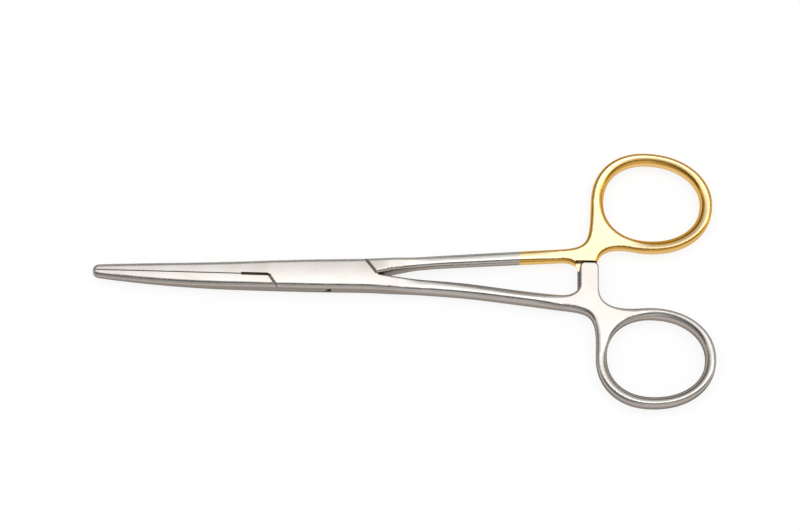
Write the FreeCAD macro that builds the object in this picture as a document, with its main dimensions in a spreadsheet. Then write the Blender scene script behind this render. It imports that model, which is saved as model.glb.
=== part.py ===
"""Box-lock haemostatic forceps, closed, lying flat with the jaws towards -X.

Frame: +X from the pivot to the finger rings, +Y to the side of the tongue half's ring, +Z up.
The origin is on the pivot axis, in the flat underside of the box. All sizes are in millimetres.
"""
import FreeCAD, Part
import Sketcher
import math
import os
from FreeCAD import Vector

DIMENSIONS = [
    ("jaw_length", 59.0, "pivot to the nose of the jaws"),
    ("jaw_tip_thick", 2.8, "thickness of the jaws at the nose"),
    ("nose_length", 1.7, "length of the rounded nose"),
    ("contact_root", -0.7, "height of the jaw contact line at the box"),
    ("contact_tip", 0.1, "height of the jaw contact line at the nose"),
    ("contact_gap", 0.04, "gap between the closed jaws"),
    ("relief_length", 7.4, "length of the relieved stretch behind the serrations"),
    ("relief_gap", 0.8, "gap between the jaws there"),
    ("serration_pitch", 1.0, "pitch of the jaw serrations"),
    ("serration_depth", 0.28, "depth of the jaw serrations"),
    ("plain_tip", 1.4, "plain stretch of contact face behind the nose"),
    ("jaw_station_a", -42.0, "station along the jaws, front"),
    ("jaw_station_b", -28.0, "station along the jaws, rear"),
    ("upper_jaw_nose", 1.80, "outer side of the upper jaw at the nose"),
    ("upper_jaw_a", 2.32, "outer side of the upper jaw at the front station"),
    ("upper_jaw_b", 2.72, "outer side of the upper jaw at the rear station"),
    ("upper_jaw_inset", 0.62, "how far the upper jaw's outer side lies inside the box at its root"),
    ("lower_jaw_nose", 1.6, "outer side of the lower jaw at the nose"),
    ("lower_jaw_a", 3.05, "outer side of the lower jaw at the front station"),
    ("lower_jaw_b", 3.72, "outer side of the lower jaw at the rear station"),
    ("lower_jaw_inset", 0.09, "how far the lower jaw's outer side lies inside the box at its root"),
    ("box_width", 7.94, "width of the box at the pivot"),
    ("box_thick", 4.8, "thickness of the box"),
    ("box_front", 13.6, "pivot to the inner corner of the jaw-side seam"),
    ("box_back", 14.0, "pivot to the inner corner of the handle-side seam"),
    ("front_seam_run", 2.2, "length of the jaw-side seam along X"),
    ("back_seam_run", 3.2, "length of the handle-side seam along X"),
    ("back_corner_rise", 0.23, "height of the handle-side seam's inner corner"),
    ("seam_gap", 0.16, "gap in the seams between the halves"),
    ("seam_bevel", 0.42, "bevel on both edges of the seams"),
    ("tongue_thick", 1.8, "thickness of the tongue"),
    ("tongue_inset", 0.02, "how far the tongue's disc lies inside the sides of the box"),
    ("tongue_root", 1.0, "how far the tongue runs into the jaw and into the shank"),
    ("tongue_shoulder", 0.4, "seam corner to where the tongue has its full height"),
    ("tongue_cover", 0.1, "how far the tongue's root stays under the jaw's relieved face"),
    ("tongue_rear_cover", 0.6, "how far its other root stays inside the shank"),
    ("tongue_clearance", 0.05, "gap between the tongue and each cheek"),
    ("web_gap", 0.1, "gap between the tongue and the webs of the box"),
    ("web_step", 0.25, "height of the jaw-side web's face over the contact line at the seam"),
    ("opening_angle", 60.0, "full opening, where the tongue meets the ends of the webs, degrees"),
    ("rivet_diameter", 3.0, "diameter of the rivet"),
    ("rivet_head", 3.9, "diameter of the rivet's peened ends"),
    ("rivet_running_gap", 0.04, "radial gap between the rivet and the tongue"),
    ("shank_station_a", 25.0, "station along the shanks, front"),
    ("shank_station_b", 36.0, "station along the shanks, middle"),
    ("shank_station_c", 47.0, "station along the shanks, rear"),
    ("shank_length", 61.0, "pivot to the end of the shanks"),
    ("upper_shank_step", 0.53, "how far the upper shank's outer side stands out from the box at its root"),
    ("upper_side_a", 5.45, "outer side of the upper shank, front"),
    ("upper_side_b", 6.38, "outer side of the upper shank, middle"),
    ("upper_side_c", 7.25, "outer side of the upper shank, rear"),
    ("upper_side_end", 8.35, "outer side of the upper shank at its end"),
    ("lower_shank_step", 0.0, "how far the lower shank's outer side stands out from the box at its root"),
    ("lower_side_a", 4.5, "outer side of the lower shank, front"),
    ("lower_side_b", 5.15, "outer side of the lower shank, middle"),
    ("lower_side_c", 6.3, "outer side of the lower shank, rear"),
    ("lower_side_end", 8.0, "outer side of the lower shank at its end"),
    ("upper_width_a", 3.2, "width of the upper shank, front"),
    ("upper_width_b", 3.15, "width of the upper shank, middle"),
    ("upper_width_c", 3.25, "width of the upper shank, rear"),
    ("upper_width_end", 3.4, "width of the upper shank at its end"),
    ("lower_width_a", 3.5, "width of the lower shank, front"),
    ("lower_width_b", 3.55, "width of the lower shank, middle"),
    ("lower_width_c", 3.55, "width of the lower shank, rear"),
    ("lower_width_end", 3.65, "width of the lower shank at its end"),
    ("box_shank_thick", 3.6, "thickness of the box half's shank and ring"),
    ("tongue_shank_thick", 2.7, "thickness of the tongue half's shank and ring"),
    ("shank_taper_start", 16.0, "pivot to where the box thins to the shanks"),
    ("shank_taper_length", 10.0, "length of that taper"),
    ("upper_ring_offset", 21.85, "centre of the upper ring from the axis of the forceps"),
    ("lower_ring_offset", 20.95, "centre of the lower ring from the axis of the forceps"),
    ("upper_ring_place", 24.0, "end of the shanks to the centre of the upper ring"),
    ("lower_ring_place", 24.6, "end of the shanks to the centre of the lower ring"),
    ("ring_hole_length", 25.1, "finger hole along X"),
    ("ring_hole_height", 21.4, "finger hole along Y"),
    ("upper_ring_band", 3.2, "width of the upper ring's band"),
    ("lower_ring_band", 2.75, "width of the lower ring's band"),
    ("ring_fullness", 2.15, "exponent of the rings' oval, 2 is an ellipse"),
    ("ring_egg", 0.055, "how much blunter the rings are towards the pivot"),
    ("upper_ring_tilt", -4.2, "turn of the upper ring about Z, degrees"),
    ("lower_ring_tilt", 0.0, "turn of the lower ring about Z, degrees"),
    ("arm_place", 7.7, "end of the shanks to the centre of the ratchet arms"),
    ("arm_width", 4.8, "width of the ratchet arms"),
    ("arm_end_radius", 1.3, "rounding of the ends of the ratchet arms"),
    ("arm_reach", 4.7, "reach of each ratchet arm past the axis"),
    ("arm_gap", 0.1, "gap between the crests of the two ratchets"),
    ("arm_end_gap", 0.5, "gap between an arm's end and the other half"),
    ("tooth_pitch", 1.3, "pitch of the ratchet teeth"),
    ("tooth_height", 0.45, "height of the ratchet teeth"),
    ("tooth_count", 4, "number of ratchet teeth on each arm"),
    ("arm_shift", 0.6, "how far the tongue half's arm lies nearer the pivot"),
    ("arm_ring_rise", 2.2, "where the curve to the ring leaves the arm, from the shank's inner side"),
    ("arm_ring_pull", 5.0, "how far that curve keeps to the arm"),
    ("ring_arm_pull", 7.0, "how far it keeps to the ring"),
    ("ring_shank_pull", 11.8, "how far the curve from ring to shank keeps to the ring"),
    ("shank_ring_pull", 8.0, "how far it keeps to the shank"),
    ("upper_arm_corner", 2.2, "rounding between the upper shank and its arm"),
    ("lower_arm_corner", 3.2, "rounding between the lower shank and its arm"),
    ("jaw_round", 1.05, "rounding of the long edges of jaws and box"),
    ("ring_round", 1.2, "rounding of the outer edges of the lower shank and ring at the ring end"),
    ("tongue_round", 0.95, "rounding of the outer edges of the upper shank and ring"),
    ("crotch_round", 0.6, "rounding of the shanks' inner edges next to the box"),
    ("arm_round", 0.5, "rounding of the edges of the ratchet arms"),
    ("hole_round", 1.2, "rounding of the edges of the finger holes"),
    ("jaw_break", 0.16, "half width of the groove along the jaws' contact line"),
]

document = FreeCAD.newDocument("forceps")
sheet = document.addObject("Spreadsheet::Sheet", "dimensions")
for row, (alias, value, meaning) in enumerate(DIMENSIONS, start=1):
    sheet.set(f"A{row}", alias)
    sheet.set(f"B{row}", str(value))
    sheet.set(f"C{row}", meaning)
    sheet.setAlias(f"B{row}", alias)
document.recompute()


def size(alias):
    return float(sheet.get(alias))


MID = size("box_thick") / 2
HALF_GAP = size("contact_gap") / 2
JAW_END = -size("jaw_length")
NOSE_START = JAW_END + size("nose_length")
NOSE_FULLNESS = 0.6
BEYOND = 3.0
TAPER_PULL = 0.45
QUARTER_PULL = 0.55
GROOVE_MOUTH = 1.5
ARC_INSET = 1 - math.sqrt(0.5)
NEAR = 0.01
RING_SPAN = (258, 542)
RING_STEPS = 28
HOLE_STEPS = 24
ARM_X = size("shank_length") + size("arm_place")
ARM_PLACE = {"upper": ARM_X - size("arm_shift"), "lower": ARM_X}


def at(x, y, z=0.0):
    return Vector(x, y, z)


def line(start, end):
    return Part.LineSegment(start, end).toShape()


def blend(start, start_way, end, end_way):
    """Curve that leaves start along start_way and arrives at end along end_way."""
    curve = Part.BezierCurve()
    curve.setPoles([start, start + start_way, end - end_way, end])
    return curve.toShape()


def contact(x):
    """Height of the jaw contact line at x."""
    share = (x + size("box_front")) / (JAW_END + size("box_front"))
    return size("contact_root") + share * (size("contact_tip") - size("contact_root"))


def side_curve(sign, half):
    """Outer side of the closed forceps from the nose to the end of one shank."""
    jaw = half + "_jaw_"
    half_box = size("box_width") / 2
    curve = Part.BSplineCurve()
    curve.interpolate([
        at(NOSE_START, sign * size(jaw + "nose")),
        at(size("jaw_station_a"), sign * size(jaw + "a")),
        at(size("jaw_station_b"), sign * size(jaw + "b")),
        at(-size("box_front"), sign * (half_box - size(jaw + "inset"))),
        at(0, sign * half_box),
        at(size("box_back"), sign * (half_box + size(half + "_shank_step"))),
        at(size("shank_station_a"), sign * size(half + "_side_a")),
        at(size("shank_station_b"), sign * size(half + "_side_b")),
        at(size("shank_station_c"), sign * size(half + "_side_c")),
        at(size("shank_length"), sign * size(half + "_side_end")),
    ])
    return curve


def inner_curve(sign, half):
    """Inner side of one shank, from the handle-side seam to the shank's end."""
    offset = size("seam_gap") if sign > 0 else 0.0
    points = [at(size("box_back") + offset, size("back_corner_rise"))]
    stations = [(station, size("shank_station_" + station)) for station in ("a", "b", "c")]
    for station, x in stations + [("end", size("shank_length"))]:
        points.append(at(x, sign * (size(f"{half}_side_{station}") - size(f"{half}_width_{station}"))))
    curve = Part.BSplineCurve()
    curve.interpolate(points)
    return curve


def place_on(curve, x):
    """Parameter of the point of a side curve at x."""
    low, high = curve.FirstParameter, curve.LastParameter
    for _ in range(60):
        middle = (low + high) / 2
        if curve.value(middle).x < x:
            low = middle
        else:
            high = middle
    return (low + high) / 2


def direction(curve, parameter):
    way = curve.tangent(parameter)[0]
    return way if way.x > 0 else way * -1


def oval_point(centre, length, height, tilt, angle):
    """Point of a ring's oval: blunter towards the pivot, turned by tilt degrees."""
    power = 2 / size("ring_fullness")
    cosine, sine = math.cos(angle), math.sin(angle)
    x = length * math.copysign(abs(cosine) ** power, cosine)
    y = height * math.copysign(abs(sine) ** power, sine) * (1 - size("ring_egg") * x / length)
    turn = math.radians(tilt)
    return centre + at(x * math.cos(turn) - y * math.sin(turn), x * math.sin(turn) + y * math.cos(turn))


def oval_curve(centre, length, height, tilt, first, last):
    """Smooth open curve along a ring's oval between two angles in degrees."""
    points = []
    for step in range(RING_STEPS + 1):
        angle = math.radians(first + (last - first) * step / RING_STEPS)
        points.append(oval_point(centre, length, height, tilt, angle))
    curve = Part.BSplineCurve()
    curve.interpolate(points)
    return curve


def oval_hole(centre, length, height, tilt):
    points = []
    for step in range(HOLE_STEPS):
        points.append(oval_point(centre, length, height, tilt, math.radians(360 * step / HOLE_STEPS)))
    curve = Part.BSplineCurve()
    curve.interpolate(points, PeriodicFlag=True)
    return curve.toShape()


def prism(edges, bottom, top):
    """Upright solid over a closed plan outline."""
    wire = Part.Wire(Part.__sortEdges__(edges))
    face = Part.Face(wire)
    solid = face.extrude(at(0, 0, top - bottom))
    solid.translate(at(0, 0, bottom))
    return solid


def jaw_face(sign):
    """Contact side of one jaw from the nose back to the seam: plain tip, serrations, relief."""
    half_relief = size("relief_gap") / 2
    pitch = size("serration_pitch")
    relief_front = -size("box_front") - size("relief_length")
    first = JAW_END + size("plain_tip")
    count = int((relief_front - first) / pitch)
    points = [at(JAW_END, contact(JAW_END) + sign * HALF_GAP), at(first, contact(first) + sign * HALF_GAP)]
    for tooth in range(count):
        start = first + tooth * pitch
        crest = start + pitch / 2
        end = start + pitch
        points.append(at(crest, contact(crest) + size("serration_depth") + sign * HALF_GAP))
        points.append(at(end, contact(end) + sign * HALF_GAP))
    points.append(at(relief_front, contact(relief_front) + sign * HALF_GAP))
    step_end = relief_front + half_relief
    points.append(at(step_end, contact(step_end) + sign * half_relief))
    return points


def front_seam(offset, height):
    """Point of the jaw-side seam line at a height, moved towards the jaws by offset."""
    drop = size("contact_root") - height
    full_drop = size("contact_root") + size("box_width") / 2 - size("lower_jaw_inset")
    return at(-size("box_front") + drop / full_drop * size("front_seam_run") - offset, height)


def front_seam_end(curve, offset):
    x_end = -size("box_front") + size("front_seam_run") - offset
    return place_on(curve, x_end)


def jaw_edges(sign, curve, side_stop):
    """Outline of one jaw from its relief corner round the nose to side_stop on its outer side."""
    face = jaw_face(sign)
    start = face[0]
    nose_end = curve.value(curve.FirstParameter)
    reach = size("nose_length")
    height = abs(nose_end.y - start.y)
    nose = blend(start, at(0, sign * height * NOSE_FULLNESS), nose_end,
                 direction(curve, curve.FirstParameter) * reach * NOSE_FULLNESS)
    edges = [line(face[i], face[i + 1]) for i in range(len(face) - 1)]
    return edges, nose, curve.toShape(curve.FirstParameter, side_stop), face[-1]


def handle_edges(sign, half, curve, inner, ring_centre, side_start):
    """Outline of one shank, its ring and its ratchet arm."""
    length = size("ring_hole_length") / 2 + size(half + "_ring_band")
    height = size("ring_hole_height") / 2 + size(half + "_ring_band")
    arm_left = ARM_PLACE[half] - size("arm_width") / 2
    arm_right = ARM_PLACE[half] + size("arm_width") / 2
    shank_end = curve.value(curve.LastParameter)
    inner_end = inner.value(inner.LastParameter)
    inner_way = direction(inner, inner.LastParameter)
    corner = size(half + "_arm_corner")
    left_low = at(arm_left, inner_end.y - sign * corner)
    right_low = at(arm_right, inner_end.y - sign * size("arm_ring_rise"))
    tip = -sign * size("arm_reach")
    end_round = size("arm_end_radius")
    inset = end_round * ARC_INSET
    round_in = at(arm_left, tip + sign * end_round)
    round_out = at(arm_right, tip + sign * end_round)
    first, last = RING_SPAN if sign > 0 else (360 - RING_SPAN[0], 360 - RING_SPAN[1])
    ring = oval_curve(ring_centre, length, height, size(half + "_ring_tilt"), first, last)
    ring_in = ring.value(ring.FirstParameter)
    ring_in_way = ring.tangent(ring.FirstParameter)[0] * size("ring_arm_pull")
    ring_out = ring.value(ring.LastParameter)
    ring_out_way = ring.tangent(ring.LastParameter)[0] * size("ring_shank_pull")
    shank_way = direction(curve, curve.LastParameter) * -size("shank_ring_pull")
    along = inner_way * (arm_left - inner_end.x - corner * (1 - QUARTER_PULL))
    arm = [
        line(left_low, round_in),
        Part.Arc(round_in, at(arm_left + inset, tip + sign * inset), at(arm_left + end_round, tip)).toShape(),
        line(at(arm_left + end_round, tip), at(arm_right - end_round, tip)),
        Part.Arc(at(arm_right - end_round, tip), at(arm_right - inset, tip + sign * inset), round_out).toShape(),
        line(round_out, right_low),
    ]
    return {
        "inner": [inner.toShape(), blend(inner_end, along, left_low, at(0, -sign * corner * QUARTER_PULL))],
        "arm": arm,
        "ring": [blend(right_low, at(0, sign * size("arm_ring_pull")), ring_in, ring_in_way),
                 ring.toShape(),
                 blend(ring_out, ring_out_way, shank_end, shank_way)],
        "outer": [curve.toShape(side_start, curve.LastParameter)],
    }


def side_profile(shank_thick):
    """Side view: jaws tapering to the nose, flat box, taper down to the shank."""
    reach = JAW_END - BEYOND
    slope = (size("box_thick") - size("jaw_tip_thick")) / 2 / (size("jaw_length") - size("box_front"))
    nose_half = size("jaw_tip_thick") / 2 - slope * BEYOND
    box_half = MID
    shank_half = shank_thick / 2
    start = size("shank_taper_start")
    end = start + size("shank_taper_length")
    far = LOWER_RING.x + size("ring_hole_length")
    pull = at(size("shank_taper_length") * TAPER_PULL, 0, 0)
    edges = []
    for sign in (1, -1):
        nose = at(reach, 0, MID + sign * nose_half)
        root = at(-size("box_front"), 0, MID + sign * box_half)
        box_end = at(start, 0, MID + sign * box_half)
        shank_start = at(end, 0, MID + sign * shank_half)
        shank_end = at(far, 0, MID + sign * shank_half)
        edges += [line(nose, root), line(root, box_end),
                  blend(box_end, pull, shank_start, pull), line(shank_start, shank_end)]
    edges.append(line(at(reach, 0, MID - nose_half), at(reach, 0, MID + nose_half)))
    edges.append(line(at(far, 0, MID - shank_half), at(far, 0, MID + shank_half)))
    face = Part.Face(Part.Wire(Part.__sortEdges__(edges)))
    solid = face.extrude(at(0, far * 2, 0))
    solid.translate(at(0, -far, 0))
    return solid


UPPER = side_curve(1, "upper")
LOWER = side_curve(-1, "lower")
UPPER_INNER = inner_curve(1, "upper")
LOWER_INNER = inner_curve(-1, "lower")
UPPER_RING = at(size("shank_length") + size("upper_ring_place"), size("upper_ring_offset"))
LOWER_RING = at(size("shank_length") + size("lower_ring_place"), -size("lower_ring_offset"))
HALF_RELIEF = size("relief_gap") / 2
TONGUE_RADIUS = size("box_width") / 2 - size("tongue_inset")
FAR = 12.0


def relief_end(sign, offset):
    """Corner where a jaw's relieved face meets the jaw-side seam."""
    return front_seam(offset, size("contact_root") + sign * HALF_RELIEF)


def hole_edge(half):
    """Outline of one finger hole."""
    centre = UPPER_RING if half == "upper" else LOWER_RING
    length, height = size("ring_hole_length") / 2, size("ring_hole_height") / 2
    return oval_hole(centre, length, height, size(half + "_ring_tilt"))


def ring_hole(half):
    return prism([hole_edge(half)], -BEYOND, size("box_thick") + BEYOND)


def box_half_blank():
    """Upper jaw, box, lower shank, lower ring and arm as one outline, with all plan edges."""
    face, nose, jaw_side, corner = jaw_edges(1, UPPER, place_on(UPPER, BACK_SEAM_X))
    seam_outer = LOWER.value(FRONT_SEAM_STOP)
    handle = handle_edges(-1, "lower", LOWER, LOWER_INNER, LOWER_RING, FRONT_SEAM_STOP)
    back_outer = UPPER.value(place_on(UPPER, BACK_SEAM_X))
    back_corner = LOWER_INNER.value(LOWER_INNER.FirstParameter)
    plain = face + [line(corner, relief_end(1, 0)), line(relief_end(1, 0), seam_outer),
                    line(back_outer, back_corner)]
    rounded = [nose, jaw_side] + handle["inner"] + handle["arm"] + handle["ring"] + handle["outer"]
    solid = prism(plain + rounded, 0, size("box_thick"))
    solid = solid.cut(ring_hole("lower"))
    return solid.common(side_profile(size("box_shank_thick"))), rounded, handle["inner"]


def tongue_jaw_blank():
    """Lower jaw up to the jaw-side seam."""
    gap = size("seam_gap")
    stop = front_seam_end(LOWER, gap)
    face, nose, jaw_side, corner = jaw_edges(-1, LOWER, stop)
    plain = face + [line(corner, relief_end(-1, gap)), line(relief_end(-1, gap), LOWER.value(stop))]
    rounded = [nose, jaw_side]
    solid = prism(plain + rounded, 0, size("box_thick"))
    return solid.common(side_profile(size("tongue_shank_thick"))), rounded


def tongue_handle_blank():
    """Upper shank, ring and arm from the handle-side seam."""
    start = place_on(UPPER, BACK_SEAM_X + size("seam_gap"))
    handle = handle_edges(1, "upper", UPPER, UPPER_INNER, UPPER_RING, start)
    plain = [line(UPPER.value(start), UPPER_INNER.value(UPPER_INNER.FirstParameter))]
    rounded = handle["inner"] + handle["arm"] + handle["ring"] + handle["outer"]
    solid = prism(plain + rounded, 0, size("box_thick"))
    solid = solid.cut(ring_hole("upper"))
    return solid.common(side_profile(size("tongue_shank_thick"))), rounded


def round_at(point, inside):
    """Rounding of the box half's long edges at a point of its outline."""
    root = LOWER_INNER.value(LOWER_INNER.LastParameter)
    if abs(point.x - ARM_X) < size("arm_width") / 2 + NEAR and point.y > root.y:
        return size("arm_round")
    share = (point.x - size("box_back")) / (size("shank_length") - size("box_back"))
    share = min(max(share, 0), 1)
    start = size("crotch_round") if inside else size("jaw_round")
    return start + share * (size("ring_round") - start)


def long_edges(shape, outline):
    """Numbers of the long edges, top and bottom, that follow an outline."""
    plan = Part.Compound(outline)
    numbers = []
    for number, edge in enumerate(shape.Edges, start=1):
        middle = edge.valueAt((edge.FirstParameter + edge.LastParameter) / 2)
        heights = [vertex.Z for vertex in edge.Vertexes]
        upright = min(heights) < MID < max(heights)
        if not upright and plan.distToShape(Part.Vertex(middle.x, middle.y, 0))[0] < NEAR:
            numbers.append(number)
    return numbers


def running_ends(shape, numbers):
    """First and last point of each edge, all turned to run one way round their contour."""
    ends = {}
    for number in numbers:
        edge = shape.Edges[number - 1]
        ends[number] = [edge.valueAt(edge.FirstParameter), edge.valueAt(edge.LastParameter)]
    waiting = list(numbers)
    while waiting:
        front = [waiting.pop(0)]
        if shape.Edges[front[0] - 1].Orientation == "Reversed":
            ends[front[0]].reverse()
        while front:
            first, last = ends[front.pop()]
            for number in list(waiting):
                other_first, other_last = ends[number]
                if (other_last - last).Length < NEAR or (other_first - first).Length < NEAR:
                    ends[number].reverse()
                elif (other_first - last).Length > NEAR and (other_last - first).Length > NEAR:
                    continue
                waiting.remove(number)
                front.append(number)
    return ends


def changing_rounds(shape, outline, inner):
    """Edges of the box half with a radius at each end, so that the rounding changes smoothly."""
    inside = set(long_edges(shape, inner))
    ends = running_ends(shape, long_edges(shape, outline))
    return [(number, *(round_at(point, number in inside) for point in ends[number])) for number in ends]


def even_rounds(shape, outline, alias):
    """Edges along an outline with one radius."""
    return [(number, size(alias), size(alias)) for number in long_edges(shape, outline)]


def add_shape(name, shape):
    item = document.addObject("Part::Feature", name)
    item.Shape = shape
    return item


def add_rounding(name, base, edges):
    item = document.addObject("Part::Fillet", name)
    item.Base = base
    item.Edges = edges
    return item


BACK_SEAM_X = size("box_back") - size("back_seam_run")
FRONT_SEAM_STOP = front_seam_end(LOWER, 0)


def slab(points, bottom, top):
    """Upright solid over a polygon."""
    corners = [at(*point) for point in points]
    edges = [line(corners[i - 1], corners[i]) for i in range(len(corners))]
    return prism(edges, bottom, top)


def web_slope(radius):
    """Slope of the line from the jaw-side web's foot that touches a circle about the pivot."""
    foot = at(-size("box_front"), size("contact_root") + size("web_step"))
    return math.asin(radius / foot.Length) + math.atan2(-foot.y, -foot.x)


def web_height(x, radius):
    """Height at x of the line along a web that touches a circle about the pivot."""
    slope = web_slope(radius)
    return radius / math.cos(slope) + x * math.tan(slope)


def web_corner(radius):
    """Corner of the jaw-side web: its long face meets its end, both touching one circle."""
    first = web_slope(radius) + math.pi / 2
    second = math.radians(size("opening_angle")) + math.pi / 2
    reach = radius / math.cos((second - first) / 2)
    middle = (first + second) / 2
    return at(reach * math.cos(middle), reach * math.sin(middle))


def slot_tool():
    """Room for the tongue between the cheeks, bounded by the two webs."""
    half = size("tongue_thick") / 2 + size("tongue_clearance")
    radius = TONGUE_RADIUS + size("web_gap")
    corner = web_corner(radius)
    opening = math.radians(size("opening_angle"))
    end = corner + at(math.cos(opening), math.sin(opening)) * size("box_width")
    left = -size("box_front") - BEYOND
    low = web_height(left, radius)
    points = [(left, -FAR), (left, low), (corner.x, corner.y), (end.x, end.y), (-left, FAR),
              (-left, -low), (-corner.x, -corner.y), (-end.x, -end.y)]
    return slab(points, MID - half, MID + half)


def box_plan(left, right):
    """Plan of the closed forceps between two stations, at the tongue's height."""
    upper_first, upper_last = place_on(UPPER, left), place_on(UPPER, right)
    lower_first, lower_last = place_on(LOWER, left), place_on(LOWER, right)
    edges = [
        UPPER.toShape(upper_first, upper_last),
        LOWER.toShape(lower_first, lower_last),
        line(UPPER.value(upper_first), LOWER.value(lower_first)),
        line(UPPER.value(upper_last), LOWER.value(lower_last)),
    ]
    half = size("tongue_thick") / 2
    return prism(edges, MID - half, MID + half)


def tongue_solid():
    """Thin tongue through the box: a disc round the rivet with an arm to each shoulder."""
    half = size("tongue_thick") / 2
    bottom, top = MID - half, MID + half
    disc = Part.makeCylinder(TONGUE_RADIUS, half * 2, at(0, 0, bottom))
    left = -size("box_front") - size("tongue_root")
    right = size("box_back") + size("tongue_root")
    shoulder = -size("box_front") + size("tongue_shoulder")
    touch = -TONGUE_RADIUS * math.sin(web_slope(TONGUE_RADIUS))
    under = size("contact_root") - HALF_RELIEF - size("tongue_cover")
    over = size("back_corner_rise") + size("tongue_rear_cover")
    jaw_arm = slab([(left, under), (shoulder, web_height(shoulder, TONGUE_RADIUS) - size("web_gap")),
                    (touch, web_height(touch, TONGUE_RADIUS)), (0, 0), (0, -FAR), (left, -FAR)], bottom, top)
    shank_arm = slab([(right, over), (-shoulder, size("web_gap") - web_height(shoulder, TONGUE_RADIUS)),
                      (-touch, -web_height(touch, TONGUE_RADIUS)), (0, 0), (0, FAR), (right, FAR)],
                     bottom, top)
    whole = disc.fuse([jaw_arm, shank_arm])
    return whole.common(box_plan(left, right))


def arm_room(sign):
    """Room under or over a ratchet arm for the arm of the other half."""
    left = ARM_PLACE["upper"] - size("arm_width") / 2 - size("arm_end_gap")
    right = ARM_PLACE["lower"] + size("arm_width") / 2 + size("arm_end_gap")
    step = sign * (size("arm_reach") + size("arm_end_gap"))
    points = [(left, step), (right, step), (right, -sign * FAR), (left, -sign * FAR)]
    if sign < 0:
        return slab(points, -BEYOND, MID + size("arm_gap") / 2)
    return slab(points, MID - size("arm_gap") / 2, size("box_thick") + BEYOND)


def tooth_tools(sign):
    """Saw-tooth grooves in the face of a ratchet arm that looks at the other arm."""
    level = MID - sign * size("arm_gap") / 2
    pitch = size("tooth_pitch")
    count = int(size("tooth_count"))
    left = ARM_X - size("arm_width")
    tools = []
    for tooth in range(count):
        start = -sign * (tooth - count / 2) * pitch
        end = start - sign * pitch
        corners = [at(left, start, level), at(left, end, level),
                   at(left, end, level - sign * size("tooth_height"))]
        edges = [line(corners[i - 1], corners[i]) for i in range(3)]
        face = Part.Face(Part.Wire(edges))
        tools.append(face.extrude(at(size("arm_width") * 2, 0, 0)))
    return tools


def groove_tools(first, last, half_width, drop):
    """Pair of three-sided bars that bevel both edges of a seam, top and bottom.

    The faces of the part lie drop lower at the last point than at the first.
    """
    way = at(last.x - first.x, last.y - first.y)
    reach = way.Length
    way.normalize()
    across = at(-way.y, way.x) * half_width * GROOVE_MOUTH
    bars = []
    for level, up in ((size("box_thick"), 1), (0, -1)):
        start = at(first.x, first.y, level)
        end = at(last.x, last.y, level - up * drop)
        over = at(0, 0, up * half_width * (GROOVE_MOUTH - 1))
        corners = [start + across + over, start - across + over, start - at(0, 0, up * half_width)]
        edges = [line(corners[i - 1], corners[i]) for i in range(3)]
        face = Part.Face(Part.Wire(edges))
        bars.append(face.extrude(end - start))
    return bars


def seam_tools(outer, inner_corner):
    """Bevels along a seam between the halves, open at its outer end."""
    way = inner_corner - outer
    way.normalize()
    return groove_tools(outer - way * BEYOND, inner_corner, size("seam_bevel"), 0)


def contact_tools():
    """Small bevels along the contact line of the jaws, from the relief to past the nose."""
    root = -size("box_front")
    slope = (size("box_thick") - size("jaw_tip_thick")) / 2 / (size("jaw_length") - size("box_front"))
    first = root - size("relief_length") + size("relief_gap")
    last = JAW_END - BEYOND
    tools = groove_tools(at(first, contact(first)), at(last, contact(last)), size("jaw_break"),
                         slope * (first - last))
    for tool, up in zip(tools, (1, -1)):
        tool.translate(at(0, 0, -up * slope * (root - first)))
    return tools


blank, outline, inner = box_half_blank()
box_blank = add_shape("box_half_blank", blank)
box_rounded = add_rounding("box_half_rounded", box_blank, changing_rounds(blank, outline, inner)
                           + even_rounds(blank, [hole_edge("lower")], "hole_round"))
blank, outline = tongue_jaw_blank()
jaw_blank = add_shape("tongue_jaw_blank", blank)
jaw_rounded = add_rounding("tongue_jaw_rounded", jaw_blank, even_rounds(blank, outline, "jaw_round"))
blank, outline = tongue_handle_blank()
handle_blank = add_shape("tongue_handle_blank", blank)
handle_rounded = add_rounding("tongue_handle_rounded", handle_blank,
                              even_rounds(blank, outline, "tongue_round")
                              + even_rounds(blank, [hole_edge("upper")], "hole_round"))
document.recompute()


def bound(kind, name, **formulas):
    """Primitive whose sizes are bound to cells of the sheet."""
    item = document.addObject(kind, name)
    for key, formula in formulas.items():
        item.setExpression(key.replace("_", "."), formula)
    return item


def add_fuse(name, members):
    item = document.addObject("Part::MultiFuse", name)
    item.Shapes = members
    return item


def add_cut(name, base, tool):
    item = document.addObject("Part::Cut", name)
    item.Base = base
    item.Tool = tool
    return item


HEAD_DEPTH = "(dimensions.rivet_head - dimensions.rivet_diameter) / 2"
cheek_bore = bound("Part::Cylinder", "cheek_bore",
                   Radius="dimensions.rivet_diameter / 2", Height="dimensions.box_thick")
lower_sink = bound("Part::Cone", "lower_countersink", Radius1="dimensions.rivet_head / 2",
                   Radius2="dimensions.rivet_diameter / 2", Height=HEAD_DEPTH)
upper_sink = bound("Part::Cone", "upper_countersink", Radius1="dimensions.rivet_diameter / 2",
                   Radius2="dimensions.rivet_head / 2", Height=HEAD_DEPTH,
                   Placement_Base_z="dimensions.box_thick - " + HEAD_DEPTH)
tongue_bore = bound("Part::Cylinder", "tongue_bore",
                    Radius="dimensions.rivet_diameter / 2 + dimensions.rivet_running_gap",
                    Height="dimensions.box_thick")

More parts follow.
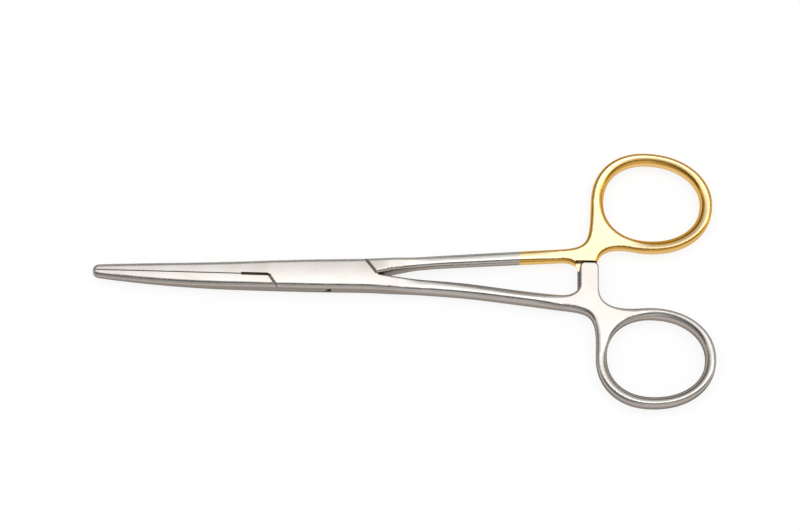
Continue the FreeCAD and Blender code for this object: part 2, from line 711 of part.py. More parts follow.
back_outer = UPPER.value(place_on(UPPER, BACK_SEAM_X + size("seam_gap") / 2))
back_corner = at(size("box_back") + size("seam_gap") / 2, size("back_corner_rise"))
front_outer = LOWER.value(front_seam_end(LOWER, size("seam_gap") / 2))
front_corner = relief_end(0, size("seam_gap") / 2)
seams = seam_tools(back_outer, back_corner) + seam_tools(front_outer, front_corner) + contact_tools()
box_tools = add_shape("box_half_tools", Part.Compound([slot_tool(), arm_room(-1)] + tooth_tools(-1) + seams))
tongue_tools = add_shape("tongue_half_tools", Part.Compound([arm_room(1)] + tooth_tools(1) + seams))
tongue = add_shape("tongue", tongue_solid())

box_cutters = add_fuse("box_half_cutters", [cheek_bore, lower_sink, upper_sink])
box_shaped = add_cut("box_half_shaped", box_rounded, box_tools)
box_half = add_cut("box_half", box_shaped, box_cutters)
tongue_whole = add_fuse("tongue_half_whole", [jaw_rounded, tongue, handle_rounded])
tongue_shaped = add_cut("tongue_half_shaped", tongue_whole, tongue_tools)
tongue_half = add_cut("tongue_half", tongue_shaped, tongue_bore)


def rivet_body():
    """Turned rivet with both ends peened into the countersinks of the cheeks and ground flush."""
    body = document.addObject("PartDesign::Body", "box_lock_rivet")
    plane = [item for item in body.Origin.OriginFeatures if item.Role == "XZ_Plane"][0]
    sketch = body.newObject("Sketcher::SketchObject", "rivet_profile")
    sketch.AttachmentSupport = [(plane, "")]
    sketch.MapMode = "FlatFace"
    radius = size("rivet_diameter") / 2
    head = size("rivet_head") / 2
    top = size("box_thick")
    sink = head - radius
    corners = [at(0, 0), at(head, 0), at(radius, sink), at(radius, top - sink), at(head, top), at(0, top)]
    for number, corner in enumerate(corners):
        sketch.addGeometry(Part.LineSegment(corner, corners[(number + 1) % len(corners)]), False)
    last = len(corners) - 1
    for number in range(len(corners)):
        following = (number + 1) % len(corners)
        sketch.addConstraint(Sketcher.Constraint("Coincident", number, 2, following, 1))
    sketch.addConstraint(Sketcher.Constraint("Coincident", 0, 1, -1, 1))
    sketch.addConstraint(Sketcher.Constraint("Horizontal", 0))
    sketch.addConstraint(Sketcher.Constraint("Vertical", 2))
    sketch.addConstraint(Sketcher.Constraint("Horizontal", 4))
    sketch.addConstraint(Sketcher.Constraint("Vertical", last))
    sketch.addConstraint(Sketcher.Constraint("Equal", 0, 4))
    distances = [
        ("DistanceX", (0, 1, 0, 2), head, "dimensions.rivet_head / 2"),
        ("DistanceX", (-1, 1, 2, 1), radius, "dimensions.rivet_diameter / 2"),
        ("DistanceY", (-1, 1, 1, 2), sink, HEAD_DEPTH),
        ("DistanceY", (-1, 1, 4, 1), top, "dimensions.box_thick"),
        ("DistanceY", (2, 2, 4, 1), sink, HEAD_DEPTH),
    ]
    for kind, points, value, formula in distances:
        number = sketch.addConstraint(Sketcher.Constraint(kind, *points, value))
        sketch.setExpression(f"Constraints[{number}]", formula)
    turning = body.newObject("PartDesign::Revolution", "rivet_turning")
    turning.Profile = sketch
    turning.ReferenceAxis = (sketch, ["V_Axis"])
    turning.Angle = 360
    return body


rivet = rivet_body()
document.recompute()

SUB_PARTS = [box_half, tongue_half, rivet]
for item in SUB_PARTS:
    item.Label = item.Name
for item in document.Objects:
    if "Invalid" in item.State or "Error" in item.State:
        raise RuntimeError(f"{item.Name} did not compute: {item.State}")
for item in SUB_PARTS:
    if item.Shape.isNull() or not item.Shape.isValid() or len(item.Shape.Solids) != 1:
        raise RuntimeError(f"{item.Label} is not one valid solid")
    print(item.Label, round(item.Shape.Volume, 2), len(item.Shape.Faces), item.Shape.BoundBox)

os.makedirs("parts", exist_ok=True)
for item in SUB_PARTS:
    item.Shape.exportStep(f"parts/{item.Label}.step")
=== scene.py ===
"""Hemostat forceps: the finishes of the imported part, its studio and its camera."""

import math

import bpy
from mathutils import Matrix, Vector


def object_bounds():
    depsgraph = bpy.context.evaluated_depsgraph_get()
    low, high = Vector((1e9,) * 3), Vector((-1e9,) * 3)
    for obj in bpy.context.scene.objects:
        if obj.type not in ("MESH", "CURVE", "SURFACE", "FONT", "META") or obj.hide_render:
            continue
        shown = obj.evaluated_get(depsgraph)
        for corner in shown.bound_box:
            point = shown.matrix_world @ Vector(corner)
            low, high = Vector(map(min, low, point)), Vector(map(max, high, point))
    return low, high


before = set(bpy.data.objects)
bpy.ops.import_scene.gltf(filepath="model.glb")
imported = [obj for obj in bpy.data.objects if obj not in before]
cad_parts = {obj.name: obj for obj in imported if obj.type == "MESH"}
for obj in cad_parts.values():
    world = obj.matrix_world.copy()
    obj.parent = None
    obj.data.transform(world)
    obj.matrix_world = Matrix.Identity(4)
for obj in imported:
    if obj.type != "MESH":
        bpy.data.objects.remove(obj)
CAD_LOW, CAD_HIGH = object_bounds()

bl_info = {
    "name": "Hemostat forceps",
    "version": (1, 0, 0),
    "blender": (4, 5, 0),
    "location": "3D view > Sidebar > Hemostat",
    "description": "Satin steel and gold plating for a box lock hemostat, with its studio",
    "category": "Object",
}

MM = 0.001
WHITE = (1.0, 1.0, 1.0, 1.0)

# The stage, in metres
FLOOR_REACH = 6.0
FLOOR_GAP = 0.0001
CARDS_REACH = 3.0
CARDS_TOP = 3.0
SOFTBOX_SIZE = (2.8, 1.8)
SOFTBOX_PLACE = (0.0, 0.0, 1.6)

# The camera: what it looks at and how wide it sees there, in metres, and its sensor in millimetres
CAMERA_AIM = Vector((0.01997, 0.0033, 0.0024))
VIEW_WIDTH = 0.20616
CLIPPING = (0.05, 50.0)
SENSOR_WIDTH = 36.0

# Noise: most of its values lie in this span, and a fine one has more detail than a soft one
NOISE_SPAN = (0.3, 0.7)
NOISE_ROUGHNESS = 0.55
SOFT, FINE = 1.0, 2.0

# Rays that feel how open a spot of a surface is
CREVICE_RAYS = 8

# Settings of nodes, and the places of a Mix node's colours among its inputs and outputs
SMOOTH = {"interpolation_type": "SMOOTHSTEP"}
COLOURS = {"data_type": "RGBA"}
SHARE, FIRST, SECOND, RESULT = 0, 6, 7, 2

# Brightness of the cards by degrees from straight up: towards the back, and towards the rings
CARDS_ACROSS = (
    (-90, 0.32), (-62, 0.30), (-46, 0.18), (-34, 0.06), (-17, 0.05), (-6, 0.38), (2, 0.50),
    (9, 0.92), (14, 1.0), (18, 0.76), (22, 0.57), (28, 0.43), (36, 0.32), (58, 0.26),
    (76, 0.12), (92, 0.05),
)
CARDS_ALONG = (
    (-90, 0.36), (-50, 0.36), (-25, 0.62), (-7, 0.76), (0, 0.85),
    (6, 1.0), (40, 0.98), (70, 0.72), (90, 0.54),
)

# Where the lower ring differs from the upper one
LOWER_RING = {
    "middle_x": 85.6,
    "middle_y": -20.95,
    "half_length": 13.93,
    "half_height": 12.08,
    "turn": 0.0,
    "root": math.radians(138),
    "shank_start_y": -2.7,
    "shank_end_y": -6.1,
}


# Materials


def linear(text):
    """An sRGB hex colour, such as c0ffee, as linear red, green, blue and alpha."""
    parts = [int(text[i : i + 2], 16) / 255 for i in (0, 2, 4)]
    return [c / 12.92 if c <= 0.04045 else ((c + 0.055) / 1.055) ** 2.4 for c in parts] + [1.0]


def add_node(tree, kind, inputs=(), **settings):
    """The outputs of a new node. Inputs go by name or in order: a value or another's output."""
    node = tree.nodes.new("ShaderNode" + kind)
    for name, value in settings.items():
        setattr(node, name, value)
    pairs = inputs.items() if isinstance(inputs, dict) else enumerate(inputs)
    for name, value in pairs:
        if isinstance(value, bpy.types.NodeSocket):
            tree.links.new(value, node.inputs[name])
        else:
            node.inputs[name].default_value = value
    return node.outputs


def new_material(name):
    """An empty node material with its tree and its position in millimetres."""
    made = bpy.data.materials.new(name)
    made.use_nodes = True
    tree = made.node_tree
    tree.nodes.clear()
    place = add_node(tree, "TexCoord")["Object"]
    place = add_node(tree, "Mapping", {"Vector": place, "Scale": [1 / MM] * 3})["Vector"]
    return made, tree, place


def grains(tree, place, width, detail, stretch=1.0):
    """Noise whose grains are about this many millimetres wide, and longer by stretch along X."""
    scale = (1 / (width * stretch), 1 / width, 1 / width)
    spread = add_node(tree, "Mapping", {"Vector": place, "Scale": scale})["Vector"]
    look = {"Vector": spread, "Scale": 1.0, "Detail": detail, "Roughness": NOISE_ROUGHNESS}
    return add_node(tree, "TexNoise", look)["Fac"]


def crevice(tree, finish):
    """0 deep in a seam or close by another surface, where dirt gathers and shade is painted, and 1
    on an open face.
    """
    reach = {"Distance": finish.grime_and_shade_reach * MM}
    near = add_node(tree, "AmbientOcclusion", reach, samples=CREVICE_RAYS)["AO"]
    return add_node(tree, "MapRange", (near, finish.full_grime_and_shade, finish.no_grime_and_shade))[0]


def ring_crown(tree, place, ring):
    """The normal of a finger ring with a round band, whose ridge lies towards the outside."""
    # The ring as a unit oval about its own middle
    spot = add_node(
        tree,
        "Mapping",
        {
            "Vector": place,
            "Location": (ring.middle_x, ring.middle_y, 0),
            "Rotation": (0, 0, ring.turn),
            "Scale": (ring.half_length, ring.half_height, 1),
        },
        vector_type="TEXTURE",
    )["Vector"]
    spread = add_node(tree, "SeparateXYZ", (spot,))
    narrowing = add_node(tree, "Math", (spread["X"], -ring.egg, 1.0), operation="MULTIPLY_ADD")[0]
    widened = add_node(tree, "Math", (spread["Y"], narrowing), operation="DIVIDE")[0]
    powers = []
    for side in (spread["X"], widened):
        length = add_node(tree, "Math", (side,), operation="ABSOLUTE")[0]
        powers.append(add_node(tree, "Math", (length, ring.fullness), operation="POWER")[0])
    total = add_node(tree, "Math", powers, operation="ADD")[0]
    size = add_node(tree, "Math", (total, 1 / ring.fullness), operation="POWER")[0]
    # The band falls off to both sides of its ridge, in millimetres
    mean = (ring.half_length + ring.half_height) / 2
    off = add_node(tree, "Math", (size, mean, -mean - ring.ridge), operation="MULTIPLY_ADD")[0]
    square = add_node(tree, "Math", (off, off, ring.ridge_width**2), operation="MULTIPLY_ADD")[0]
    slant = add_node(tree, "Math", (square,), operation="SQRT")[0]
    height = add_node(tree, "Math", (slant, -ring.steepness * MM), operation="MULTIPLY")[0]
    # It is flat where the shank joins, and away from the band
    way = (math.cos(ring.root), math.sin(ring.root), 0)
    root = add_node(tree, "VectorMath", (spot, way), operation="DOT_PRODUCT")["Value"]
    root = add_node(tree, "Math", (root, size), operation="DIVIDE")[0]
    away = add_node(tree, "MapRange", (root, ring.root_start, ring.root_end, 1.0, 0.0), **SMOOTH)[0]
    span = (ring.reach, ring.reach + ring.reach_fade)
    on_band = add_node(tree, "MapRange", (size, *span, 1.0, 0.0), **SMOOTH)[0]
    share = add_node(tree, "Math", (away, on_band), operation="MULTIPLY")[0]
    return add_node(tree, "Bump", {"Height": height, "Strength": share, "Distance": 1.0})["Normal"]


def crowned(tree, off, radius, share):
    """Height in metres of a crowned top, from the millimetres off its middle line."""
    square = add_node(tree, "Math", (off, off), operation="MULTIPLY")[0]
    crown = add_node(tree, "Math", (square, -MM / (2 * radius)), operation="MULTIPLY")[0]
    return add_node(tree, "Math", (crown, share), operation="MULTIPLY")[0]


def relief(tree, place, finish, ring):
    """Height of the surface in metres: crowned tops, waves from grinding and bead marks."""
    spread = add_node(tree, "SeparateXYZ", (place,))
    along, across = spread["X"], spread["Y"]
    fade = finish.crown_fade
    # Jaws and box share one wide crown
    span = (finish.crown_end - fade, finish.crown_end)
    on_box = add_node(tree, "MapRange", (along, *span, 1.0, 0.0), **SMOOTH)[0]
    box = crowned(tree, across, finish.crown_radius, on_box)
    # A shank has a round one over its own middle line
    span = (ring.shank_start - fade, ring.shank_start)
    begun = add_node(tree, "MapRange", (along, *span), **SMOOTH)[0]
    span = (ring.shank_end - fade, ring.shank_end)
    unfinished = add_node(tree, "MapRange", (along, *span, 1.0, 0.0), **SMOOTH)[0]
    on_shank = add_node(tree, "Math", (begun, unfinished), operation="MULTIPLY")[0]
    line = (ring.shank_start, ring.shank_end, ring.shank_start_y, ring.shank_end_y)
    middle = add_node(tree, "MapRange", (along, *line))[0]
    off = add_node(tree, "Math", (across, middle), operation="SUBTRACT")[0]
    shank = crowned(tree, off, finish.shank_radius, on_shank)
    height = add_node(tree, "Math", (box, shank), operation="ADD")[0]
    waves = grains(tree, place, finish.wave, SOFT, finish.wave_length)
    beads = grains(tree, place, finish.grain, FINE)
    for pattern, depth in ((waves, finish.wave_height), (beads, finish.grain_depth)):
        height = add_node(tree, "Math", (pattern, depth * MM, height), operation="MULTIPLY_ADD")[0]
    return height


def levelness(tree, normal):
    """1 where a surface lies level, facing up or down, and 0 on an upright face; painted shade and
    highlight follow it.
    """
    turned = add_node(
        tree,
        "VectorTransform",
        {"Vector": normal},
        vector_type="NORMAL",
        convert_from="WORLD",
        convert_to="OBJECT",
    )["Vector"]
    up = add_node(tree, "SeparateXYZ", (turned,))["Z"]
    return add_node(tree, "Math", (up,), operation="ABSOLUTE")[0]


def clouded(tree, tone, finish):
    """A finish's colour, turning to its shade where the tone is high."""
    colours = {SHARE: tone, FIRST: linear(finish.colour), SECOND: linear(finish.shade)}
    return add_node(tree, "Mix", colours, **COLOURS)[RESULT]


def shaded_by_tilt(tree, level, full, none, edge, colour):
    """The colour on level faces, giving way to the hex colour edge, a painted shade, as they tip
    upright.
    """
    share = add_node(tree, "MapRange", (level, full, none), **SMOOTH)[0]
    colours = {SHARE: share, FIRST: linear(edge), SECOND: colour}
    return add_node(tree, "Mix", colours, **COLOURS)[RESULT]


def plated_share(tree, place, plating):
    """1 on the plating and 0 on the bare steel, with a slightly uneven edge."""
    edge = grains(tree, place, plating.edge_grain, FINE)
    reach = (-plating.edge_ripple, plating.edge_ripple)
    ripple = add_node(tree, "MapRange", (edge, *NOISE_SPAN, *reach))[0]
    spread = add_node(tree, "SeparateXYZ", (place,))
    shares = []
    for axis, line in (("X", plating.start), ("Y", plating.stop)):
        moved = add_node(tree, "Math", (spread[axis], ripple), operation="ADD")[0]
        span = (line - plating.fade, line + plating.fade)
        shares.append(add_node(tree, "MapRange", (moved, *span), **SMOOTH)[0])
    return add_node(tree, "Math", shares, operation="MULTIPLY")[0]


def metal(name, finish, ring, plating=None):
    """A satin instrument metal, plated from a line onwards where a plating is given."""
    made, tree, place = new_material(name)
    cloud = grains(tree, place, finish.cloud, SOFT)
    tone = add_node(tree, "MapRange", (cloud, *NOISE_SPAN))[0]
    lines = grains(tree, place, finish.line_width, FINE, finish.line_length)
    span = (finish.rough_low, finish.rough_high)
    rough = add_node(tree, "MapRange", (lines, *NOISE_SPAN, *span))[0]
    rounded = ring_crown(tree, place, ring)
    level = levelness(tree, rounded)
    colour = clouded(tree, tone, finish)
    # Painted shade: the steel darkens towards its wall colour as faces tip upright
    colour = shaded_by_tilt(tree, level, finish.full_wall_shade, finish.no_wall_shade, finish.wall_shade, colour)
    tint = linear(finish.edge_tint)
    if plating:
        share = plated_share(tree, place, plating)
        gold = clouded(tree, tone, plating)
        # Painted highlight and shade on the gold: pale on level faces, deep amber over rounded
        # edges, a middle gold on walls
        gold = shaded_by_tilt(tree, level, plating.full_deep_shade, plating.no_deep_shade, plating.deep, gold)
        gold = shaded_by_tilt(tree, level, plating.full_wall_shade, plating.no_wall_shade, plating.wall_shade, gold)
        colours = {SHARE: share, FIRST: colour, SECOND: gold}
        colour = add_node(tree, "Mix", colours, **COLOURS)[RESULT]
        rough = add_node(tree, "Math", (share, plating.rougher, rough), operation="MULTIPLY_ADD")[0]
        tints = {SHARE: share, FIRST: tint, SECOND: linear(plating.edge_tint)}
        tint = add_node(tree, "Mix", tints, **COLOURS)[RESULT]
    # Dirt and painted shade: seams and spots close by other surfaces, the floor among them, darken
    # towards a dark brown
    colours = {SHARE: crevice(tree, finish), FIRST: linear(finish.grime_and_painted_shade), SECOND: colour}
    colour = add_node(tree, "Mix", colours, **COLOURS)[RESULT]
    height = relief(tree, place, finish, ring)
    bump = {"Height": height, "Strength": 1.0, "Distance": 1.0, "Normal": rounded}
    shader = {
        "Base Color": colour,
        "Roughness": rough,
        "Normal": add_node(tree, "Bump", bump)["Normal"],
        "Metallic": 1.0,
        "Specular Tint": tint,
    }
    surface = add_node(tree, "BsdfPrincipled", shader)["BSDF"]
    add_node(tree, "OutputMaterial", {"Surface": surface})
    return made


def ramp(tree, angle, stops):
    """Brightness over an angle in radians, from stops of degrees and brightness."""
    turn = add_node(tree, "MapRange", (angle, -math.pi, math.pi))[0]
    colour = add_node(tree, "ValToRGB", (turn,))["Color"]
    band = colour.node.color_ramp
    band.interpolation = "CARDINAL"
    while len(band.elements) < len(stops):
        band.elements.new(0.5)
    for element, (degrees, light) in zip(band.elements, stops):
        element.position = (degrees + 180) / 360
        element.color = (light, light, light, 1.0)
    return colour


def seen_directly(tree):
    """1 for a ray from the camera, or sent on by metal or glass, and 0 for scattered light."""
    rays = add_node(tree, "LightPath")
    seen = rays["Is Camera Ray"]
    for kind in ("Is Glossy Ray", "Is Transmission Ray"):
        seen = add_node(tree, "Math", (seen, rays[kind]), operation="MAXIMUM")[0]
    return seen


def dress(node_name, material):
    """Gives a CAD node its material."""
    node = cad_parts[node_name]
    node.data.materials.clear()
    node.data.materials.append(material)
    return node


class SteelFinish(bpy.types.PropertyGroup):
    """Satin surgical steel: glass-bead blasted over a ground forging."""

    colour: bpy.props.StringProperty(name="Colour", description="Steel, sRGB hex", default="d3d1cd")
    shade: bpy.props.StringProperty(
        name="Shade", description="Steel where the cloud is darker, sRGB hex", default="cdc9c4"
    )
    # Painted shade: upright walls get this darker steel
    wall_shade: bpy.props.StringProperty(
        name="Walls", description="Steel on the less polished walls, sRGB hex", default="b4aca4"
    )
    full_wall_shade: bpy.props.FloatProperty(
        name="Full wall",
        description="Levelness of a face up to which it has the wall's tone",
        default=0.45,
        subtype="FACTOR",
        min=0,
        max=1,
    )
    no_wall_shade: bpy.props.FloatProperty(
        name="No wall",
        description="Levelness of a face from which it has the plain tone",
        default=0.97,
        subtype="FACTOR",
        min=0,
        max=1,
    )
    rough_low: bpy.props.FloatProperty(
        name="Smoothest",
        description="Roughness where the polish is best",
        default=0.24,
        subtype="FACTOR",
        min=0,
        max=1,
    )
    rough_high: bpy.props.FloatProperty(
        name="Roughest",
        description="Roughness where the polish is worst",
        default=0.30,
        subtype="FACTOR",
        min=0,
        max=1,
    )
    # Real bead marks are near 0.05 mm; they are drawn coarser, because a pixel is 0.26 mm wide
    grain: bpy.props.FloatProperty(
        name="Bead marks", description="Width of a bead mark, in millimetres", default=0.7
    )
    grain_depth: bpy.props.FloatProperty(
        name="Bead depth", description="Depth of a bead mark, in millimetres", default=0.00009
    )
    cloud: bpy.props.FloatProperty(
        name="Clouds", description="Width of a cloud in the tone, in millimetres", default=6.0
    )
    # Lines from a fine grinding belt are near 0.05 mm too, and are drawn coarser as well
    line_width: bpy.props.FloatProperty(
        name="Grind lines", description="Width of a grinding line, in millimetres", default=0.3
    )
    line_length: bpy.props.FloatProperty(
        name="Line length", description="How many widths long a grinding line is", default=14.0
    )
    wave: bpy.props.FloatProperty(
        name="Waves",
        description="Width of a wave left by hand grinding, in millimetres",
        default=7.0,
    )
    wave_length: bpy.props.FloatProperty(
        name="Wave length", description="How many widths long such a wave is", default=3.0
    )
    wave_height: bpy.props.FloatProperty(
        name="Wave height", description="Height of such a wave, in millimetres", default=0.008
    )
    crown_radius: bpy.props.FloatProperty(
        name="Crown",
        description="Radius of the crowned top of jaws and box, in millimetres",
        default=50.0,
    )
    shank_radius: bpy.props.FloatProperty(
        name="Shank crown",
        description="Radius of the crowned top of a shank, in millimetres",
        default=4.5,
    )
    crown_end: bpy.props.FloatProperty(
        name="Crown end", description="Where the crown has run out, in millimetres", default=20.0
    )
    crown_fade: bpy.props.FloatProperty(
        name="Crown fade",
        description="Length over which the crown runs out, in millimetres",
        default=8.0,
    )
    edge_tint: bpy.props.StringProperty(
        name="Edge tint",
        description="Tint of the steel where it is seen at a glance, sRGB hex",
        default="86817c",
    )
    # Partly real dirt in the seams, partly painted shade wherever a spot is enclosed, near the
    # floor too
    grime_and_painted_shade: bpy.props.StringProperty(
        name="Grime", description="Dark residue deep in the seams, sRGB hex", default="3d362f"
    )
    grime_and_shade_reach: bpy.props.FloatProperty(
        name="Grime reach",
        description="How far a seam shades its edges, in millimetres",
        default=0.9,
    )
    full_grime_and_shade: bpy.props.FloatProperty(
        name="Full grime",
        description="Openness of a spot below which it is all grime",
        default=0.12,
        subtype="FACTOR",
        min=0,
        max=1,
    )
    no_grime_and_shade: bpy.props.FloatProperty(
        name="No grime",
        description="Openness of a spot above which it is clean",
        default=0.75,
        subtype="FACTOR",
        min=0,
        max=1,
    )


class PlatingFinish(bpy.types.PropertyGroup):
    """Gold plating on the finger ring and the end of the shank."""

    # Painted highlight: level faces get this pale gold, paler than the gold on rounded edges and
    # walls
    colour: bpy.props.StringProperty(name="Colour", description="Gold, sRGB hex", default="fae6bd")
    shade: bpy.props.StringProperty(
        name="Shade", description="Gold where the cloud is darker, sRGB hex", default="f7e1b2"
    )
    # Painted shade: upright walls get this darker gold
    wall_shade: bpy.props.StringProperty(
        name="Walls", description="Gold on the less polished walls, sRGB hex", default="ecca90"
    )
    # Painted shade: rounded edges get this deep amber, a darker copy of the gold
    deep: bpy.props.StringProperty(
        name="Deep tone", description="Gold over the rounded edges, sRGB hex", default="e4b154"
    )
    full_deep_shade: bpy.props.FloatProperty(
        name="Full deep tone",
        description="Levelness of a face up to which the deep tone is full",
        default=0.93,
        subtype="FACTOR",
        min=0,
        max=1,
    )
    no_deep_shade: bpy.props.FloatProperty(
        name="No deep tone",
        description="Levelness of a face from which the deep tone has gone",
        default=0.995,
        subtype="FACTOR",
        min=0,
        max=1,
    )
    full_wall_shade: bpy.props.FloatProperty(
        name="Full wall",
        description="Levelness of a face up to which it has the wall's tone",
        default=0.05,
        subtype="FACTOR",
        min=0,
        max=1,
    )
    no_wall_shade: bpy.props.FloatProperty(
        name="No wall",
        description="Levelness of a face from which the wall's tone has gone",
        default=0.65,
        subtype="FACTOR",
        min=0,
        max=1,
    )
    edge_tint: bpy.props.StringProperty(
        name="Edge tint",
        description="Tint of the gold where it is seen at a glance, sRGB hex",
        default="e0bb80",
    )
    start: bpy.props.FloatProperty(
        name="Start",
        description="Where the plating starts on the shank, in millimetres",
        default=50.7,
    )
    stop: bpy.props.FloatProperty(
        name="Stop",
        description="Where the plating ends on the ratchet arm, in millimetres",
        default=2.8,
    )
    fade: bpy.props.FloatProperty(
        name="Edge",
        description="Half the width of the plating's edge, in millimetres",
        default=0.06,
    )
    edge_grain: bpy.props.FloatProperty(
        name="Edge grain",
        description="Width of an uneven spot on the edge, in millimetres",
        default=0.8,
    )
    edge_ripple: bpy.props.FloatProperty(
        name="Edge ripple", description="How far the edge wanders, in millimetres", default=0.08
    )
    rougher: bpy.props.FloatProperty(
        name="Rougher", description="Roughness that the plating adds", default=-0.02
    )


class RingFinish(bpy.types.PropertyGroup):
    """A finger ring polished round across its band, and the crowned shank that leads to it."""

    middle_x: bpy.props.FloatProperty(
        name="Middle X", description="Along the forceps, in millimetres", default=85.0
    )
    middle_y: bpy.props.FloatProperty(
        name="Middle Y", description="Across the forceps, in millimetres", default=21.85
    )
    half_length: bpy.props.FloatProperty(
        name="Half length",
        description="Of the line along the middle of the band, in millimetres",
        default=14.15,
    )
    half_height: bpy.props.FloatProperty(
        name="Half height", description="Of the same line, in millimetres", default=12.3
    )
    turn: bpy.props.FloatProperty(
        name="Turn", description="Turn of the ring", default=math.radians(-4.2), subtype="ANGLE"
    )
    egg: bpy.props.FloatProperty(
        name="Egg", description="How much blunter the ring is towards the pivot", default=0.055
    )
    fullness: bpy.props.FloatProperty(
        name="Fullness", description="Exponent of the oval, 2 is an ellipse", default=2.15
    )
    shank_start: bpy.props.FloatProperty(
        name="Shank start",
        description="Where the ring's shank has its full crown, in millimetres",
        default=28.0,
    )
    shank_end: bpy.props.FloatProperty(
        name="Shank end", description="Where that crown has run out, in millimetres", default=62.0
    )
    shank_start_y: bpy.props.FloatProperty(
        name="Start Y",
        description="Middle of the shank where it starts, in millimetres",
        default=4.1,
    )
    shank_end_y: bpy.props.FloatProperty(
        name="End Y", description="Middle of the shank where it ends, in millimetres", default=6.7
    )
    ridge: bpy.props.FloatProperty(
        name="Ridge",
        description="How far outside the middle the ridge lies, in millimetres",
        default=0.75,
    )
    ridge_width: bpy.props.FloatProperty(
        name="Ridge width",
        description="Width over which the ridge turns, in millimetres",
        default=0.9,
    )
    steepness: bpy.props.FloatProperty(
        name="Steepness", description="Slope of the band beside its ridge", default=0.42
    )
    root: bpy.props.FloatProperty(
        name="Root",
        description="Which way the shank joins the ring",
        default=math.radians(222),
        subtype="ANGLE",
    )
    root_start: bpy.props.FloatProperty(
        name="Root start",
        description="Cosine off that way where the round starts to fade",
        default=0.6,
    )
    root_end: bpy.props.FloatProperty(
        name="Root end", description="Cosine off that way where the round has gone", default=0.95
    )
    reach: bpy.props.FloatProperty(
        name="Reach", description="Share of the ring's size up to which it is round", default=1.15
    )
    reach_fade: bpy.props.FloatProperty(
        name="Reach fade", description="Share over which the round then fades", default=0.12
    )


class StudioSettings(bpy.types.PropertyGroup):
    """The floor, the softbox, the cards and the camera."""

    floor_colour: bpy.props.StringProperty(name="Floor", description="sRGB hex", default="fafafa")
    floor_glow: bpy.props.FloatProperty(
        name="Floor glow",
        description="Share of plain white in the floor where it is seen",
        default=0.82,
        subtype="FACTOR",
        min=0,
        max=1,
    )
    card_colour: bpy.props.StringProperty(
        name="Cards",
        description="Colour of the cards that the metal mirrors, sRGB hex",
        default="fdfbf9",
    )
    card_peak: bpy.props.FloatProperty(
        name="Card peak", description="Brightness of the cards at their brightest", default=2.9
    )
    softbox_power: bpy.props.FloatProperty(
        name="Softbox", description="Power of the softbox", default=20.0, unit="POWER"
    )
    sky_strength: bpy.props.FloatProperty(
        name="Fill", description="Strength of the light from all round on the floor", default=0.62
    )
    elevation: bpy.props.FloatProperty(
        name="Elevation",
        description="Angle of the camera above the floor",
        default=math.radians(68.0),
        subtype="ANGLE",
    )
    roll: bpy.props.FloatProperty(
        name="Roll",
        description="Turn of the camera about its own line",
        default=math.radians(1.09),
        subtype="ANGLE",
    )
    distance: bpy.props.FloatProperty(
        name="Distance", description="From the camera to the forceps", default=0.8, unit="LENGTH"
    )


class HEMOSTAT_OT_box_half(bpy.types.Operator):
    """Dresses the box half, with lower jaw, box, lower shank and ring, and its rivet"""

    bl_idname = "hemostat.box_half"
    bl_label = "Box half and rivet"

    def execute(self, context):
        # Stainless steel, ground and bead blasted: even grey with soft, blurred reflections
        scene = context.scene
        satin = metal("satin_stainless_steel", scene.hemostat_steel, scene.hemostat_lower_ring)
        dress("box_half", satin)
        dress("box_lock_rivet", satin)
        return {"FINISHED"}


class HEMOSTAT_OT_tongue_half(bpy.types.Operator):
    """Dresses the tongue half, with upper jaw, upper shank and ring"""

    bl_idname = "hemostat.tongue_half"
    bl_label = "Tongue half"

    def execute(self, context):
        # The same steel, electroplated with gold at the ring: pale yellow flats, a painted
        # highlight, and deep amber edges, painted shade
        scene = context.scene
        steel, plating = scene.hemostat_steel, scene.hemostat_plating
        ring = scene.hemostat_upper_ring
        plated = metal("gold_plated_stainless_steel", steel, ring, plating)
        dress("tongue_half", plated)
        return {"FINISHED"}


def stage_sheet(name, corners, faces, material):
    """A mesh of flat faces that belongs to the stage."""
    mesh = bpy.data.meshes.new(name)
    mesh.from_pydata(corners, [], faces)
    mesh.materials.append(material)
    made = bpy.data.objects.new(name, mesh)
    bpy.context.scene.collection.objects.link(made)
    return made


def square_at(reach, height):
    """The corners of a level square about the origin."""
    return [(x * reach, y * reach, height) for x, y in ((-1, -1), (1, -1), (1, 1), (-1, 1))]


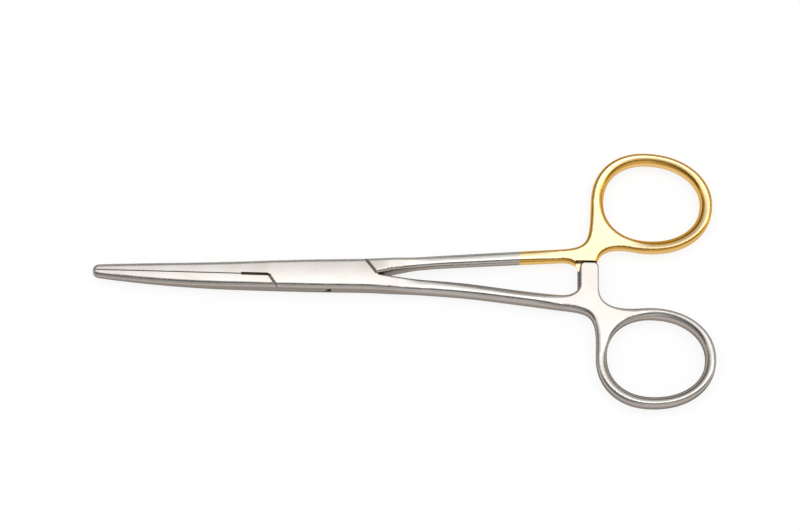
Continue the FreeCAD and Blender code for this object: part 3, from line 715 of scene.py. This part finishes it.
class HEMOSTAT_OT_stage(bpy.types.Operator):
    """Makes the floor, the cards, the softbox, the world and the camera"""

    bl_idname = "hemostat.stage"
    bl_label = "Stage"

    def execute(self, context):
        scene, studio = context.scene, context.scene.hemostat_studio
        floor_height = CAD_LOW.z - FLOOR_GAP
        self.floor(studio, floor_height)
        self.cards(studio, floor_height)
        self.softbox(scene, studio)
        self.world(scene, studio)
        self.camera(scene, studio)
        scene.view_settings.view_transform = "Standard"
        return {"FINISHED"}

    def floor(self, studio, height):
        """A wide sheet of white paper."""
        # Matt white paper: even, without gloss, and near white where it is seen
        made, tree, _ = new_material("white_paper")
        paper = add_node(tree, "BsdfDiffuse", {"Color": linear(studio.floor_colour)})["BSDF"]
        glow = add_node(tree, "Emission", {"Color": WHITE, "Strength": 1.0})["Emission"]
        factors = (seen_directly(tree), studio.floor_glow)
        share = add_node(tree, "Math", factors, operation="MULTIPLY")[0]
        surface = add_node(tree, "MixShader", (share, paper, glow))["Shader"]
        add_node(tree, "OutputMaterial", {"Surface": surface})
        stage_sheet("floor", square_at(FLOOR_REACH, height), [(0, 1, 2, 3)], made)

    def cards(self, studio, height):
        """Cards all round, which only the metal sees: bright overhead, darker to the sides."""
        # Lit card, brightest where the flats mirror it; it sheds no light of its own
        made, tree, place = new_material("studio_cards")
        spread = add_node(tree, "SeparateXYZ", (place,))
        light = studio.card_peak
        for axis, stops in (("Y", CARDS_ACROSS), ("X", CARDS_ALONG)):
            angle = add_node(tree, "Math", (spread[axis], spread["Z"]), operation="ARCTAN2")[0]
            factors = (ramp(tree, angle, stops), light)
            light = add_node(tree, "Math", factors, operation="MULTIPLY")[0]
        glow = {"Color": linear(studio.card_colour), "Strength": light}
        surface = add_node(tree, "Emission", glow)["Emission"]
        add_node(tree, "OutputMaterial", {"Surface": surface})
        made.cycles.emission_sampling = "NONE"
        corners = square_at(CARDS_REACH, height) + square_at(CARDS_REACH, CARDS_TOP)
        faces = [(i, (i + 1) % 4, (i + 1) % 4 + 4, i + 4) for i in range(4)] + [(4, 5, 6, 7)]
        cards = stage_sheet("grey_cards", corners, faces, made)
        cards.visible_camera = False
        cards.visible_diffuse = False
        cards.visible_shadow = False

    def softbox(self, scene, studio):
        """One large softbox overhead, which lights the floor."""
        lamp = bpy.data.lights.new("softbox", "AREA")
        lamp.shape = "RECTANGLE"
        lamp.size, lamp.size_y = SOFTBOX_SIZE
        lamp.energy = studio.softbox_power
        made = bpy.data.objects.new("softbox", lamp)
        made.location = SOFTBOX_PLACE
        made.visible_glossy = False
        scene.collection.objects.link(made)

    def world(self, scene, studio):
        """White where it is seen or mirrored, and a plain fill on the floor."""
        world = bpy.data.worlds.new("studio")
        world.use_nodes = True
        tree = world.node_tree
        tree.nodes.clear()
        seen = seen_directly(tree)
        strength = add_node(tree, "MapRange", (seen, 0.0, 1.0, studio.sky_strength, 1.0))[0]
        glow = add_node(tree, "Background", {"Color": WHITE, "Strength": strength})["Background"]
        add_node(tree, "OutputWorld", {"Surface": glow})
        scene.world = world

    def camera(self, scene, studio):
        """The photograph's view: from above, a little in front, through a long lens."""
        lens = bpy.data.cameras.new("camera")
        lens.sensor_width = SENSOR_WIDTH
        lens.lens = lens.sensor_width * studio.distance / VIEW_WIDTH
        lens.clip_start, lens.clip_end = CLIPPING
        made = bpy.data.objects.new("camera", lens)
        back = Vector((0, -math.cos(studio.elevation), math.sin(studio.elevation)))
        turn = (-back).to_track_quat("-Z", "Y").to_matrix().to_4x4()
        turn = turn @ Matrix.Rotation(studio.roll, 4, "Z")
        made.matrix_world = Matrix.Translation(CAMERA_AIM + back * studio.distance) @ turn
        scene.collection.objects.link(made)
        scene.camera = made


class HEMOSTAT_PT_panel(bpy.types.Panel):
    """Lists the pieces and the settings of their finishes"""

    bl_idname = "HEMOSTAT_PT_panel"
    bl_label = "Hemostat"
    bl_space_type = "VIEW_3D"
    bl_region_type = "UI"
    bl_category = "Hemostat"

    def draw(self, context):
        for kind in OPERATORS:
            self.layout.operator(kind.bl_idname)
        for group, kind in GROUPS.items():
            box = self.layout.box()
            box.label(text=group.replace("_", " ").capitalize())
            settings = getattr(context.scene, group)
            for name in kind.__annotations__:
                box.prop(settings, name)


OPERATORS = (HEMOSTAT_OT_box_half, HEMOSTAT_OT_tongue_half, HEMOSTAT_OT_stage)
GROUPS = {
    "hemostat_steel": SteelFinish,
    "hemostat_plating": PlatingFinish,
    "hemostat_upper_ring": RingFinish,
    "hemostat_lower_ring": RingFinish,
    "hemostat_studio": StudioSettings,
}
KINDS = (SteelFinish, PlatingFinish, RingFinish, StudioSettings, *OPERATORS, HEMOSTAT_PT_panel)


def register():
    for kind in KINDS:
        bpy.utils.register_class(kind)
    for group, kind in GROUPS.items():
        setattr(bpy.types.Scene, group, bpy.props.PointerProperty(type=kind))


def unregister():
    for group in GROUPS:
        delattr(bpy.types.Scene, group)
    for kind in reversed(KINDS):
        bpy.utils.unregister_class(kind)


def main():
    """Makes everything in order."""
    register()
    lower_ring = bpy.context.scene.hemostat_lower_ring
    for name, value in LOWER_RING.items():
        setattr(lower_ring, name, value)
    bpy.ops.hemostat.box_half()
    bpy.ops.hemostat.tongue_half()
    bpy.ops.hemostat.stage()


if __name__ == "__main__":
    main()
